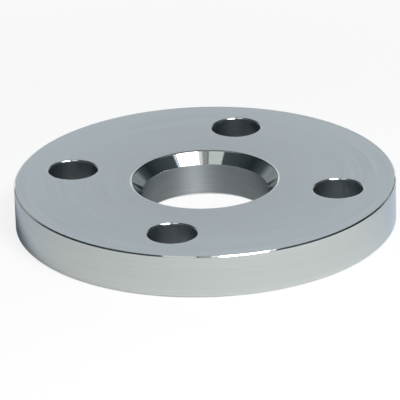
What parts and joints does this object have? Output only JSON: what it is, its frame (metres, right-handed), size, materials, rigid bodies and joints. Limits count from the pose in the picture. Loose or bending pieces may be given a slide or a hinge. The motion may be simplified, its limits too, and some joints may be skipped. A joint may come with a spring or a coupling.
{
  "type": "lap joint flange",
  "caption": "Flat round steel backing flange with a plain bore, a wide chamfer at the bore's mouth and a ring of plain bolt holes, for clamping a lapped pipe end.",
  "frame": {"origin": "centre of the bore at the plain back face, where the flange stands", "axes": "+Z along the bore, from the plain back face to the face with the wide chamfer; the bolt holes straddle the X and Y axes"},
  "size_m": [0.14, 0.14, 0.016],
  "materials": {
    "turned_stainless": "fine turned stainless steel, bright on the chamfers and edges"
  },
  "bodies": {
    "root": {"flange": "turned_stainless"}
  },
  "joints": []
}
